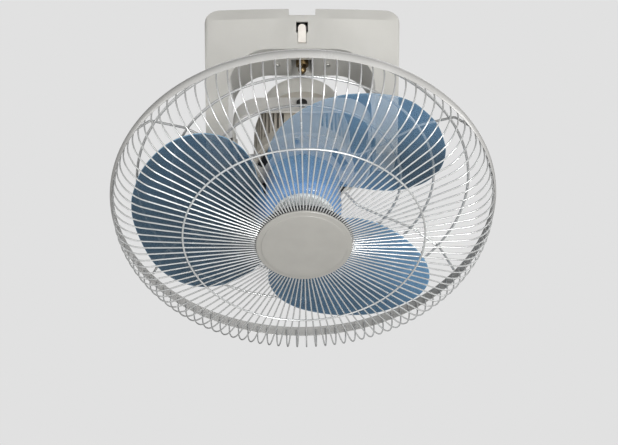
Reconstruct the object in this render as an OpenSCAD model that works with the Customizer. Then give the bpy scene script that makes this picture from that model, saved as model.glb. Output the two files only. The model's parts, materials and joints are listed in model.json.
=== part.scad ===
// Orbital ceiling fan: a bridge base on the ceiling, a two-axis gimbal and a caged fan head.
// The head leans from the vertical and its axis travels round a cone while the blades turn.
// Origin: middle of the face that meets the ceiling. +Z is up, the front is towards -Y.

/* [Stance] */
// Half-angle of the cone that the head's axis sweeps
orbit_tilt = 32; // [24:1:33]
// Place on the orbit at rest, from dead front towards +X
orbit_phase = 2; // [0:0.5:6]
// Height of the gimbal centre below the ceiling
pivot_drop = 165; // [160:1:190]

/* [Base cover] */
// Width of the base at the ceiling
base_w = 244; // [236:1:260]
// Width across the feet of the two legs
foot_w = 231; // [228:1:236]
// Depth of the base at its middle
base_d = 92; // [84:1:96]
// How far the front and rear faces bow out
base_bow = 6; // [3:0.5:8]
// Depth of the legs at their feet
foot_d = 74; // [60:1:78]
// How far the legs reach below the gimbal centre
leg_below = 22; // [16:1:26]
// Wall of the base cover
base_t = 3; // [2:0.5:4]
// Radius of the upper corners seen from the front
base_r = 18; // [10:1:22]
// Height of the bevel along the ceiling
bevel_h = 15; // [8:1:18]
// Depth of the bevel along the ceiling
bevel_d = 5; // [2:1:7]
// Height of the arch crown above the gimbal centre
crown_h = 110; // [107:1:112]
// Radius of the arch's upper corners
arch_r = 49; // [40:1:56]
// Gap between the gimbal's arms and the arch wall
arm_gap = 4.5; // [4:0.5:7]

/* [Ceiling plate] */
// Length of the ceiling plate
plate_l = 206; // [190:1:210]
// Depth of the ceiling plate
plate_d = 62; // [56:1:64]
// Thickness of the ceiling plate
plate_t = 2; // [1.5:0.5:3]
// Spacing of the ceiling screws along X
screw_x = 170; // [150:1:180]
// Spacing of the ceiling screws along Y
screw_y = 46; // [44:1:48]
// Radius of the ceiling screw holes
screw_hole_r = 2.75; // [2:0.25:3]
// Radius of the supply cable's hole
cable_r = 8; // [6:0.5:10]

/* [Release tab] */
// Width of the release tab
tab_w = 9.6; // [8:0.2:12]
// Length of the release tab
tab_l = 28.5; // [24:0.5:30]
// Depth of the tab's slot below the ceiling
slot_z = 19; // [18:1:22]

/* [Gimbal] */
// Half-width of the gimbal ring, outside
ring_w = 85; // [82:0.5:88]
// Half-height of the gimbal ring, outside
ring_h = 65; // [64:0.5:70]
// Width of the gimbal ring's strap
strap_w = 27; // [22:1:28]
// Thickness of the gimbal ring's strap
strap_t = 2.5; // [2:0.5:3]
// Radius of the gimbal ring's corners
ring_r = 36; // [20:1:40]
// Radius of the trunnion pins
trunnion_r = 4; // [3:0.25:5]
// Radius of the head's pivot bolts
bolt_r = 3.5; // [2.5:0.25:4]

/* [Motor] */
// Radius of the motor shells
motor_r = 60; // [56:0.5:60]
// Radius of the front flange
flange_r = 62.5; // [61:0.5:64]
// Place of the front flange's face, ahead of the gimbal centre
flange_z = 50; // [46:1:54]
// Place of the joint between the two motor shells
joint_z = 12; // [11:1:14]
// Place of the rear shell's end face, behind the gimbal centre
rear_z = 36; // [34:1:38]
// Wall of the motor shells
shell_t = 2.5; // [2:0.5:3]
// Radius of the gear cover at its rear end
cover_r = 46.3; // [44:0.1:48]
// Place of the gear cover's rear end, behind the gimbal centre
cover_z = 79.4; // [79:0.2:80]
// Radius of the motor shaft
shaft_r = 4; // [3:0.5:5]

/* [Orbit drive] */
// Distance of the drive ball from the gimbal centre
ball_h = 100; // [99:0.5:101]
// Radius of the drive ball
ball_r = 5; // [4:0.25:5.5]
// Tooth module of the reduction gears
gear_m = 0.55; // [0.5:0.05:0.6]
// Teeth on each small gear
small_teeth = 10; // [9:1:11]
// Teeth on each large gear
large_teeth = 60; // [54:1:60]

/* [Guard] */
// Outer radius of the guard's band
guard_r = 225; // [220:1:240]
// Width of the guard's band along the axis
band_w = 16; // [12:1:20]
// Middle of the band, ahead of the gimbal centre
band_z = 114; // [110:1:120]
// Number of front wires
wires = 108; // [72:12:120]
// Radius of a front wire
wire_r = 0.9; // [0.8:0.1:1.1]
// Radius of the front guard's shoulder
shoulder_r = 40; // [30:1:50]
// Place of the shoulder's centre, ahead of the gimbal centre
shoulder_z = 122; // [120:1:126]
// Radius of the welded front ring
front_ring_r = 138; // [110:1:150]
// Radius of the front ring's wire
front_ring_wire = 1.1; // [1:0.1:2]
// Radius of the rear ring and stay wires
stay_r = 1.5; // [1.3:0.1:2.2]
// Radii of the three rear rings
rear_ring_r = [118, 157.2, 197]; // [100:1:200]
// Angle of the rear stays above and below the horizontal
stay_angle = 31.5; // [28:0.5:40]

/* [Cap] */
// Radius of the centre cap
cap_r = 55; // [52:0.5:58]
// Thickness of the centre cap at its rim
cap_t = 4.2; // [4:0.2:8]

/* [Blades] */
// Radius that the blades sweep
sweep_r = 200; // [190:1:205]
// Thickness of a blade
blade_t = 2.2; // [1.6:0.2:3]
// Half-width of a blade across its middle
blade_half_w = 104; // [90:1:108]
// Radius of the blade hub
hub_r = 45; // [42:0.5:48]
// Place of the blade hub's rear edge, ahead of the gimbal centre
hub_z = 68; // [66:1:72]
// Length of the blade hub
hub_l = 58; // [50:1:60]
// Radius of the hub cap
hub_cap_r = 36.5; // [32:0.5:40]

/* [Hidden] */
$fn = 48;
eps = 0.01;
fine = 720;
run_gap = 0.05;
seat_gap = 0.3;
weld_gap = 0.05;
head_side = asin(sin(orbit_phase) * sin(orbit_tilt));
head_tilt = atan2(cos(orbit_phase) * sin(orbit_tilt), cos(orbit_tilt));
crank_angle = atan2(cos(head_tilt) * sin(head_side), sin(head_tilt));
ball_off = ball_h * sin(orbit_tilt);
ball_z = -ball_h * cos(orbit_tilt);
base_h = pivot_drop + leg_below;
crown_z = -(pivot_drop - crown_h);
arch_w = ring_w + arm_gap;
side_lean = atan((base_w - foot_w) / 2 / base_h);
bow_half = base_w / 2 - 9;
bow_r = (bow_half * bow_half + base_bow * base_bow) / (2 * base_bow);
roof_l = plate_l + 1;
roof_d = plate_d + 1;
beam_t = 3;
beam_d = 34;
frame_x = arch_w + base_t + 7;
cable_x = 28;
cable_y = 20;
notch_w = 33;
notch_h = 9.6;
recess_w = 28;
recess_l = 53;
recess_y = 16.5;
dish_r = 100;
dish_d = 0.7;
grommet_z = -42;
cover_screw_x = 32;
cover_screw_y = 6.5;
slot_w = tab_w + 5;
slot_h = 14.5;
tab_t = 2.4;
tab_pin_r = 1;
tab_pin_z = -(slot_z + tab_l - 3);
tab_top = slot_z + 3.9;
tab_foot = slot_z + tab_l - 0.5;
face_y = -base_d / 2;
ring_in_w = ring_w - strap_t;
ring_in_h = ring_h - strap_t;
boss_r = 8;
head_boss_r = 9;
bush_r = 7;
bush_head_r = 9.5;
bolt_head_r = 6.5;
head_bush_r = 5.6;
boss_top = ring_in_h - 1.4;
vent_w = 3.2;
vent_pitch = 6.4;
through_r = 2;
through_at = motor_r - 9;
through_a = 8;
stay_bend = 10;
clamp_at = motor_r - 9;
clamp_half = 9.5;
disc_r = 34.5;
cover_root = motor_r - 4.5;
plate_r = cap_r + 2;
wire_a = -0.9;
stator_r = motor_r - 10;
rotor_r = stator_r - 21;
core_l = 32;
core_z = -2;
gear_c = gear_m * (small_teeth + large_teeth) / 2;
gear_h = 5.6;
layer_z = [-56, -63, -70];
plate1_z = -47;
plate2_z = -74.5;
pin_r = 1.2;
gear_a = 90;
gear_b = 30;
disc_t = 8.4;
disc_z = -(cover_z + 0.9);
band_in = guard_r - 3;
band_z0 = band_z - band_w / 2;
shoulder_c = band_in - wire_r - weld_gap - shoulder_r;
wire_slope = 4.5;
wire_start = 48;
knee_r = shoulder_c + shoulder_r * sin(wire_slope);
knee_z = shoulder_z + shoulder_r * cos(wire_slope);
ring_z_front = wire_z(front_ring_r) + wire_r + front_ring_wire + weld_gap;
stay_z = flange_z + stay_r + weld_gap;
stay_path = [[clamp_at - 5, stay_z], [61, stay_z + 0.4], [77, stay_z + 13.7], [92, stay_z + 14.9],
    [160, stay_z + 11.9], [202, stay_z + 25.5], [band_in - stay_r - weld_gap, band_z0 + 1.5]];
stay_last = len(stay_path) - 2;
cap_back = wire_z(wire_start) + wire_r + 0.2;
plate_front = wire_z(plate_r) - wire_r - 0.1;
blade_bend = 503;
blade_vertex_t = -106;
blade_vertex_z = 106.6;
blade_rake = 4.9;
blade_mid = sweep_r - 86.5;
blade_skew = 5;
blade_first = 60.1;
hub_top = hub_z + hub_l;

// Height of a front wire's centre line at radius r, on its straight part.
function wire_z(r) = knee_z + (knee_r - r) * tan(wire_slope);
function polar(r, a) = [r * cos(a), r * sin(a)];
function gear_spot(a) = polar(gear_c, a);

// The gimbal's own frame: +Z is the head's axis without its sideways lean, +Y the second axis.
module gimbal_frame() {
    translate([0, 0, -pivot_drop]) rotate([180 - head_tilt, 0, 0]) children();
}

// The head's frame: +Z points out of the front of the guard, +Y is up seen from the front.
module head_frame() {
    gimbal_frame() rotate([0, head_side, 0]) children();
}

module both_sides() {
    children();
    mirror([1, 0, 0]) children();
}

module four_ways(a) {
    for (t = [a, 180 - a, 180 + a, -a]) rotate([0, 0, t]) children();
}

module along_x(x0, x1, r) {
    translate([x0, 0, 0]) rotate([0, 90, 0]) cylinder(r = r, h = x1 - x0);
}

module tube(z0, z1, r_out, r_in) {
    translate([0, 0, z0]) linear_extrude(z1 - z0) difference() {
        circle(r = r_out);
        circle(r = r_in);
    }
}

module torus(r, wire) {
    rotate_extrude($fn = 96) translate([r, 0]) circle(r = wire, $fn = 16);
}

module rounded_box2(half_w, half_h, r) {
    square([2 * half_w - 2 * r, 2 * half_h], center = true);
    square([2 * half_w, 2 * half_h - 2 * r], center = true);
    for (x = [-1, 1], y = [-1, 1])
        translate([x * (half_w - r), y * (half_h - r)]) circle(r = r);
}

module slab(size, at, r = 0) {
    translate([at[0] - size[0] / 2, at[1] - size[1] / 2, at[2]]) cube(size);
}

/* ---- Base ---- */

// Front view of the bridge: t is how far the outline is drawn in from the outside.
module bridge_front(t) {
    r = base_r - t;
    top_x = base_w / 2 - t;
    cx = top_x - r * (1 + sin(side_lean)) / cos(side_lean);
    tx = cx + r * cos(side_lean);
    tz = -t - r * (1 + sin(side_lean));
    foot_x = foot_w / 2 - t;
    foot_z = -base_h + t;
    arch_x = arch_w + t;
    arch_top = crown_z + t;
    corner = arch_r + t;
    difference() {
        polygon([[-top_x, -t], [top_x, -t], [foot_x, foot_z], [-foot_x, foot_z]]);
        for (s = [-1, 1]) difference() {
            polygon([[s * cx, -t + 2], [s * (top_x + 9), -t + 2], [s * (top_x + 9), tz], [s * tx, tz],
                [s * cx, -t - r]]);
            translate([s * cx, -t - r]) circle(r = r);
        }
        difference() {
            translate([-arch_x, -base_h - 1]) square([2 * arch_x, base_h + 1 + arch_top]);
            for (s = [-1, 1]) difference() {
                translate([s * (arch_x - corner / 2 + 1), arch_top - corner / 2 + 1])
                    square(corner + 2, center = true);
                translate([s * (arch_x - corner), arch_top - corner]) circle(r = corner);
            }
        }
    }
}

// Plan of the bridge, bowed at the front and the rear, its four corners rounded.
module bridge_plan(t) {
    r = 9 - t;
    cx = base_w / 2 - t - r + 0.15;
    cy = base_d / 2 - bow_r + sqrt(pow(bow_r - t - r, 2) - cx * cx) + 0.15;
    difference() {
        intersection() {
            square([base_w - 2 * t, base_d], center = true);
            translate([0, base_d / 2 - bow_r]) circle(r = bow_r - t, $fn = fine);
            translate([0, bow_r - base_d / 2]) circle(r = bow_r - t, $fn = fine);
        }
        for (x = [-1, 1], y = [-1, 1]) difference() {
            translate([x * (cx + 8), y * (cy + 8)]) square(16, center = true);
            translate([x * cx, y * cy]) circle(r = r);
        }
    }
}

// Side view: the legs get shallower towards their feet.
module bridge_side(t) {
    y0 = base_d / 2 - t;
    y1 = foot_d / 2 - t;
    polygon([[-y0, 1], [y0, 1], [y0, crown_z], [y1, -base_h], [-y1, -base_h], [-y0, crown_z]]);
}

module bridge_solid(t) {
    intersection() {
        rotate([90, 0, 0]) linear_extrude(2 * base_d, center = true) bridge_front(t);
        translate([0, 0, -base_h - 1]) linear_extrude(base_h + 2) bridge_plan(t);
        rotate([90, 0, 90]) linear_extrude(2 * base_w, center = true) bridge_side(t);
    }
}

// Room that the bevel leaves along the ceiling, on the bowed front and rear.
module bevel_keep(t) {
    intersection_for(s = [-1, 1]) translate([0, s * (base_d / 2 - bow_r), 0]) union() {
        translate([0, 0, -base_h - 1]) cylinder(r = bow_r + 1, h = base_h + 1 - bevel_h - 2, $fn = fine);
        translate([0, 0, -bevel_h - 3]) cylinder(r1 = bow_r - t + 3 * bevel_d / bevel_h,
            r2 = bow_r - t - bevel_d - bevel_d / bevel_h, h = bevel_h + 4, $fn = fine);
    }
}

module base_cover() {
    color([0.78, 0.77, 0.74]) difference() {
        intersection() {
            bridge_solid(0);
            bevel_keep(0);
        }
        intersection() {
            bridge_solid(base_t);
            bevel_keep(base_t);
        }
        slab([roof_l, roof_d, 2 * base_t], [0, 0, -base_t - 1]);
        slab([notch_w, base_d / 2, notch_h + 1], [0, -base_d / 2, -notch_h]);
        slab([slot_w, 4 * base_t, slot_h], [0, face_y, -slot_z - slot_h]);
        slab([tab_w + 1, 4 * base_t, tab_l], [0, face_y, -slot_z - tab_l - 0.5]);
        slab([recess_w, recess_l, 3 * base_t], [0, recess_y, crown_z - base_t]);
        translate([0, face_y - dish_r + dish_d, -38]) sphere(r = dish_r, $fn = 360);
        translate([0, face_y - 1.2 + tab_t + 0.6, tab_pin_z]) along_x(-tab_w / 2 - 5.1, tab_w / 2 + 5.1,
            tab_pin_r + 0.02);
        both_sides() {
            translate([0, 0, -pivot_drop]) along_x(arch_w - 1, arch_w + base_t + 1, bush_r + 0.02);
            translate([cover_screw_x, cover_screw_y, crown_z - 1]) cylinder(r = 2, h = base_t + 2);
        }
        translate([0, base_d / 2 - base_t - 2, grommet_z]) rotate([-90, 0, 0])
            cylinder(r = 5, h = base_t + 4);
    }
}

module ceiling_plate() {
    color([0.72, 0.73, 0.74]) difference() {
        slab([plate_l, plate_d, plate_t], [0, 0, -plate_t]);
        slab([48, 40, 2 * plate_t], [0, -plate_d / 2 - 6, -1.5 * plate_t]);
        for (x = [-1, 1], y = [-1, 1])
            translate([x * screw_x / 2, y * screw_y / 2, -plate_t - 1])
                cylinder(r = screw_hole_r, h = plate_t + 2);
        for (x = [-1, 1]) translate([x * 60, 0, -plate_t - 1]) cylinder(r = 2.52, h = plate_t + 2);
        translate([cable_x, cable_y, -plate_t - 1]) cylinder(r = cable_r, h = plate_t + 2);
    }
}

module hanger_frame() {
    color([0.55, 0.56, 0.58]) difference() {
        union() {
            slab([2 * frame_x, beam_d, beam_t], [0, 0, -plate_t - beam_t]);
            both_sides()
            slab([beam_t, beam_d - 4, pivot_drop + 10], [frame_x - beam_t / 2, 0, -pivot_drop - 12]);
        }
        for (x = [-1, 1]) translate([x * 60, 0, -plate_t - beam_t - 1]) cylinder(r = 2.52, h = beam_t + 2);
        translate([0, 0, -plate_t - beam_t - 1]) cylinder(r = 4.02, h = beam_t + 2);
        translate([cable_x, cable_y, -plate_t - beam_t - 1]) cylinder(r = cable_r + 1, h = beam_t + 2);
        both_sides() translate([0, 0, -pivot_drop]) along_x(frame_x - beam_t - 1, frame_x + 1, bush_r + 0.02);
    }
}

// Round-headed screws that hold the hanger frame to the ceiling plate.
module frame_bolts() {
    color([0.62, 0.6, 0.55]) for (x = [-60, 60]) translate([x, 0, 0]) {
        translate([0, 0, -plate_t - beam_t - 4]) cylinder(r = 5, h = 4);
        translate([0, 0, -plate_t - beam_t - eps]) cylinder(r = 2.5, h = plate_t + beam_t + eps);
    }
}

// Lugs of the cover rest on the beam; these screws pull them together.
module plate_screws() {
    color([0.7, 0.7, 0.7]) for (x = [-92, 92]) translate([x, 0, -plate_t - beam_t]) {
        translate([0, 0, -2.6]) cylinder(r = 3.6, h = 2.6);
        translate([0, 0, -5.5]) cylinder(r = 1.6, h = 3);
    }
}

module cover_screws() {
    color([0.8, 0.79, 0.74]) both_sides() translate([cover_screw_x, cover_screw_y, crown_z]) {
        translate([0, 0, -2.4]) cylinder(r = 3.6, h = 2.35);
        translate([0, 0, -0.1]) cylinder(r = 1.9, h = 12);
    }
}

module release_tab() {
    y0 = face_y - 1.2;
    color([0.83, 0.82, 0.79]) difference() {
        union() {
            slab([tab_w, tab_t, tab_foot - tab_top - tab_w / 2], [0, y0 + tab_t / 2, -tab_foot]);
            translate([0, y0 + tab_t, -tab_top - tab_w / 2]) rotate([90, 0, 0])
                cylinder(r = tab_w / 2, h = tab_t);
            translate([-tab_w / 2, y0 + tab_t + 0.6, tab_pin_z]) rotate([0, 90, 0])
                cylinder(r = 2.6, h = tab_w);
        }
        translate([-tab_w, y0 + tab_t + 0.6, tab_pin_z]) rotate([0, 90, 0])
            cylinder(r = tab_pin_r + run_gap, h = 2 * tab_w);
    }
}

module tab_pin() {
    y = face_y - 1.2 + tab_t + 0.6;
    color([0.4, 0.4, 0.4]) translate([-tab_w / 2 - 5, y, tab_pin_z]) rotate([0, 90, 0])
        cylinder(r = tab_pin_r, h = tab_w + 10);
}

module terminal_block() {
    color([0.9, 0.9, 0.86]) difference() {
        slab([16, 36, 16], [-62, 0, -plate_t - beam_t - 16 - 4.5]);
        for (y = [-12, 0, 12]) translate([-62, y, -plate_t - beam_t - 22]) cylinder(r = 2.4, h = 12);
    }
    color([0.9, 0.9, 0.86]) slab([16, 10, 4.4], [-74, 0, -plate_t - beam_t - 4.4]);
}

module run_capacitor() {
    color([0.85, 0.85, 0.84]) translate([14, -16, -plate_t - beam_t - 15.8]) cube([36, 26, 15.7]);
}

/* ---- Orbit drive, on the base ---- */

module orbit_post() {
    top = -plate_t - 0.2;
    foot = -pivot_drop + ball_h + ball_r + 0.5 + 14;
    color([0.5, 0.5, 0.5]) {
        translate([0, 0, foot]) cylinder(r = 4, h = top - foot);
        translate([0, 0, -plate_t - beam_t - 4]) tube(0, 3.9, 8, 4);
    }
}

module orbit_socket() {
    mouth = -pivot_drop + ball_h + ball_r + 0.5;
    color([0.72, 0.56, 0.28]) difference() {
        translate([0, 0, mouth]) cylinder(r = 8, h = 16);
        translate([0, 0, mouth + 14 - 0.02]) cylinder(r = 4.02, h = 10);
        translate([0, 0, mouth - 1]) cylinder(r = ball_r + 0.4, h = 5);
    }
}

module trunnion_bushes() {
    color([0.08, 0.08, 0.08]) both_sides() translate([0, 0, -pivot_drop]) difference() {
        union() {
            along_x(ring_w + seat_gap, arch_w - 0.02, bush_head_r);
            along_x(ring_w + 1, frame_x + 0.5, bush_r);
        }
        along_x(ring_w - 1, frame_x + 2, trunnion_r + run_gap);
    }
}

module lead_grommet() {
    color([0.12, 0.12, 0.12]) translate([0, base_d / 2, grommet_z]) rotate([-90, 0, 0]) {
        tube(0.02, 1.5, 7, 3);
        tube(-base_t - 1, 1, 4.9, 3);
        tube(-base_t - 1.5, -base_t - 0.06, 6.5, 3);
    }
}

/* ---- Gimbal ---- */

module gimbal_ring() {
    color([0.74, 0.73, 0.7]) gimbal_frame() difference() {
        union() {
            translate([0, 0, -strap_w / 2]) linear_extrude(strap_w) difference() {
                rounded_box2(ring_w, ring_h, ring_r);
                rounded_box2(ring_in_w, ring_in_h, ring_r - strap_t);
            }
            both_sides() along_x(ring_in_w - 2, ring_in_w + 1, boss_r);
        }
        both_sides() along_x(ring_in_w - 8, ring_w + 1, trunnion_r + 0.02);
        for (s = [-90, 90]) rotate([0, 0, s]) along_x(ring_in_h - 1, ring_h + 1, bolt_r + 0.02);
    }
}

module trunnion_pins() {
    color([0.6, 0.6, 0.62]) gimbal_frame() both_sides() {
        along_x(ring_in_w - 2, frame_x + 1, trunnion_r);
        along_x(frame_x + 0.8, frame_x + 4, trunnion_r + 3);
    }
}

module pivot_bolts() {
    color([0.15, 0.15, 0.16]) gimbal_frame() for (s = [-90, 90]) rotate([0, 0, s]) {
        along_x(boss_top - 9, ring_h + 1, bolt_r);
        along_x(ring_h + 0.1, ring_h + 4, bolt_head_r);
    }
}

module pivot_washers() {
    color([0.75, 0.75, 0.75]) gimbal_frame() for (s = [-90, 90]) rotate([0, 0, s])
        translate([boss_top + 0.2, 0, 0]) rotate([0, 90, 0]) tube(0, 1, 7.5, bolt_r + run_gap);
}

/* ---- Motor ---- */

module vents(z0, z1) {
    for (side = [15, 113, 195, 293], k = [0:8])
        rotate([0, 0, side + k * vent_pitch]) translate([motor_r - 6, -vent_w / 2, z0])
            cube([12, vent_w, z1 - z0]);
}

module motor_rear_shell() {
    r_in = motor_r - shell_t;
    color([0.73, 0.71, 0.67]) head_frame() difference() {
        union() {
            rotate_extrude() polygon([[cover_r - 3, -rear_z], [motor_r - 3.6, -rear_z],
                [motor_r - 2.6, -rear_z + 3], [motor_r - 0.9, -rear_z + 11], [motor_r, -rear_z + 20],
                [motor_r, joint_z], [r_in, joint_z], [r_in, -rear_z + 20], [r_in - 0.9, -rear_z + 11],
                [r_in - 2.6, -rear_z + shell_t], [cover_r - 3, -rear_z + shell_t]]);
            tube(-rear_z, -rear_z + shell_t, cover_r - 2, 8.02);
            tube(-rear_z, -rear_z + 9, 12, 8.02);
            for (s = [-90, 90]) rotate([0, 0, s]) along_x(motor_r - shell_t + 0.3, boss_top, head_boss_r);
        }
        for (s = [-90, 90]) rotate([0, 0, s]) along_x(motor_r - 8, boss_top + 1, head_bush_r);
        for (t = [0:3]) rotate([0, 0, through_a + 90 * t]) translate([through_at, 0, -rear_z - 1])
            cylinder(r = through_r + 0.02, h = 30);
        vents(joint_z - 34, joint_z + 1);
    }
}

module motor_front_shell() {
    r_in = motor_r - shell_t;
    color([0.75, 0.73, 0.69]) head_frame() difference() {
        rotate_extrude() polygon([[motor_r, joint_z + 0.2], [motor_r, flange_z - 5], [flange_r, flange_z - 4],
            [flange_r, flange_z - 0.6], [flange_r - 0.6, flange_z], [15, flange_z], [14, flange_z + 9],
            [9.02, flange_z + 9], [9.02, flange_z - 2.6], [r_in, flange_z - 2.6], [r_in, joint_z + 0.2]]);
        vents(joint_z - 1, joint_z + 17);
        for (t = [76:7:101])
            rotate([0, 0, t]) translate([motor_r - 3.4, -2.6, flange_z - 2]) cube([4.4, 5.2, 4]);
        for (t = [0:12:359]) rotate([0, 0, t]) translate([18, -1.1, flange_z - 4]) cube([12, 2.2, 8]);
        for (t = [0:3]) rotate([0, 0, through_a + 90 * t]) translate([through_at, 0, flange_z - 4])
            cylinder(r = through_r + 0.02, h = 8);
        four_ways(stay_angle) for (y = [-clamp_half, clamp_half]) translate([clamp_at, y, flange_z - 4])
            cylinder(r = 1.52, h = 8);
    }
}

module through_bolts() {
    color([0.7, 0.7, 0.7]) head_frame() for (t = [0:3]) rotate([0, 0, through_a + 90 * t])
        translate([through_at, 0, 0]) {
            translate([0, 0, -rear_z]) cylinder(r = through_r, h = rear_z + flange_z + 0.5);
            translate([0, 0, flange_z + 0.05]) cylinder(r = 3.8, h = 2.4);
        }
}

module pivot_bushes() {
    color([0.62, 0.45, 0.25]) head_frame() for (s = [-90, 90]) rotate([0, 0, s]) difference() {
        along_x(motor_r - shell_t, boss_top, head_bush_r - 0.02);
        along_x(motor_r - 8, boss_top + 1, bolt_r + run_gap);
    }
}

module stator_core() {
    color([0.45, 0.46, 0.48]) head_frame() difference() {
        tube(core_z, core_z + core_l, stator_r, rotor_r + 0.5);
        for (t = [0:15:359])
            rotate([0, 0, t]) translate([rotor_r, -1.5, core_z - 1]) cube([12, 3, core_l + 2]);
        for (t = [0:3]) rotate([0, 0, through_a + 90 * t]) translate([through_at, 0, core_z - 1])
            cylinder(r = through_r + 1.2, h = core_l + 2);
    }
}

module stator_coils() {
    color([0.72, 0.38, 0.18]) head_frame() for (z = [core_z - 5.6, core_z + core_l + 5.6])
        translate([0, 0, z]) rotate_extrude() translate([stator_r - 11, 0]) rounded_box2(7, 5.5, 3);
}

module motor_bearings() {
    color([0.7, 0.7, 0.72]) head_frame() {
        tube(flange_z + 1, flange_z + 9, 9, shaft_r + run_gap);
        tube(-rear_z + 0.2, -rear_z + 8.2, 8, shaft_r + run_gap);
    }
}

// Outline of the domed gear cover from its root (t = 0) to its rear end (t = 1), drawn in by wall.
function dome(t, wall) = [cover_r - wall + (cover_root - cover_r) * sqrt(1 - t * t),
                          -rear_z - 0.1 - t * (cover_z - rear_z - 2.5 - wall / 24)];

module gear_cover() {
    color([0.74, 0.73, 0.69]) head_frame() rotate_extrude() polygon([for (t = [0:0.125:1]) dome(t, 0),
        [cover_r - 0.8, -cover_z + 1], [cover_r - 2.8, -cover_z], [6.5, -cover_z], [6.5, -cover_z + 2.4],
        for (t = [1:-0.125:0]) dome(t, 2.4)]);
}

// Two plates that carry the layshaft pins, the front one against the rear shell.
module gear_plates() {
    color([0.66, 0.66, 0.66]) head_frame() {
        difference() {
            union() {
                tube(plate1_z, plate1_z + 2, cover_r - 3.6, 8);
                tube(plate1_z + 1.9, -rear_z - 0.1, cover_r - 3.6, cover_r - 6);
            }
            for (a = [gear_a, gear_b]) translate(gear_spot(a)) translate([0, 0, plate1_z - 1])
                cylinder(r = pin_r + 0.02, h = 4);
        }
        difference() {
            union() {
                tube(plate2_z, plate2_z + 2, cover_r - 3.6, 7.02);
                tube(-cover_z + 2.5, plate2_z + 0.1, cover_r - 3.6, cover_r - 6);
            }
            for (a = [gear_a, gear_b]) translate(gear_spot(a)) translate([0, 0, plate2_z - 1])
                cylinder(r = pin_r + 0.02, h = 4);
        }
    }
}

module gear_pins() {
    color([0.8, 0.8, 0.8]) head_frame() for (a = [gear_a, gear_b]) translate(gear_spot(a))
        translate([0, 0, plate2_z]) cylinder(r = pin_r, h = plate1_z + 2 - plate2_z);
}

module output_bush() {
    color([0.62, 0.45, 0.25]) head_frame() tube(-cover_z + 0.2, plate2_z + 2, 6.4, 5 + run_gap);
}

/* ---- Guard ---- */

module guard_band() {
    bulge = 3;
    big = (band_w * band_w / 4 + bulge * bulge) / (2 * bulge);
    color([0.8, 0.8, 0.78]) head_frame() rotate_extrude($fn = 180) intersection() {
        translate([guard_r - big, band_z]) circle(r = big, $fn = 96);
        translate([band_in, band_z0 - 1]) square([10, band_w + 2]);
    }
}

module front_wires() {
    straight = (knee_r - wire_start) / cos(wire_slope);
    color([0.84, 0.84, 0.82]) head_frame() for (k = [0:wires - 1])
        rotate([0, 0, 360 * (k + 0.5) / wires + wire_a]) {
        translate([wire_start, 0, wire_z(wire_start)]) rotate([0, 90 + wire_slope, 0])
            cylinder(r = wire_r, h = straight, $fn = 16);
        translate([shoulder_c, 0, shoulder_z]) rotate([90, 0, 0])
            rotate_extrude(angle = 90 - wire_slope) translate([shoulder_r, 0]) circle(r = wire_r, $fn = 16);
        translate([shoulder_c + shoulder_r, 0, band_z - 1])
            cylinder(r = wire_r, h = shoulder_z - band_z + 1, $fn = 16);
    }
}

module front_ring() {
    color([0.88, 0.88, 0.86]) head_frame()
        translate([0, 0, ring_z_front]) torus(front_ring_r, front_ring_wire);
}

module centre_plate() {
    color([0.76, 0.75, 0.72]) head_frame() difference() {
        union() {
            tube(plate_front - 3, plate_front, plate_r, 3);
            tube(plate_front - 8, plate_front - 2.9, cap_r - 5, cap_r - 7.5);
            tube(plate_front - 8, plate_front, 8, 3);
        }
        tube(plate_front - 9, plate_front + 1, 2.1, 0.5);
    }
}

module centre_cap() {
    top = cap_back + cap_t;
    color([0.68, 0.66, 0.62]) head_frame() difference() {
        union() {
            rotate_extrude($fn = 96) polygon([[0, cap_back + 2], [0, top], [24, top - 0.1], [40, top - 0.5],
                [cap_r - 5.2, top - 0.9], [cap_r - 4.4, top - 1.5], [cap_r - 1.8, top - 1.7],
                [cap_r - 0.4, top - 2.4], [cap_r, top - 3.4], [cap_r, cap_back], [cap_r - 1.8, cap_back],
                [cap_r - 1.8, cap_back + 1]]);
            translate([0, 0, cap_back - 1]) cylinder(r = 7, h = 4);
        }
        translate([0, 0, cap_back - 2]) cylinder(r = 1.6, h = 4.6);
    }
}

module cap_screw() {
    color([0.7, 0.7, 0.7]) head_frame() {
        translate([0, 0, plate_front - 8.1 - 2.4]) cylinder(r = 4, h = 2.4);
        translate([0, 0, plate_front - 8.2]) cylinder(r = 1.55, h = cap_back + 2 - plate_front + 8);
    }
}

module rear_ring(k) {
    r = rear_ring_r[k];
    slope = atan(stay_height(r + 1) - stay_height(r));
    color([0.78, 0.78, 0.76]) head_frame()
        translate([0, 0, stay_height(r) + (2 * stay_r + weld_gap) / cos(slope)]) torus(r, stay_r);
}

// Height of a rear stay's centre line at radius r.
function stay_height(r) =
    let (s = max([for (k = [0:stay_last]) stay_path[k][0] <= r ? k : 0]),
        a = stay_path[s], b = stay_path[s + 1])
    a[1] + (b[1] - a[1]) * (r - a[0]) / (b[0] - a[0]);

module rear_ring_inner() { rear_ring(0); }
module rear_ring_middle() { rear_ring(1); }
module rear_ring_outer() { rear_ring(2); }

module rod(a, b, r) {
    d = b - a;
    translate([a[0], 0, a[1]]) rotate([0, atan2(d[0], d[1]), 0]) cylinder(r = r, h = norm(d), $fn = 24);
}

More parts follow.
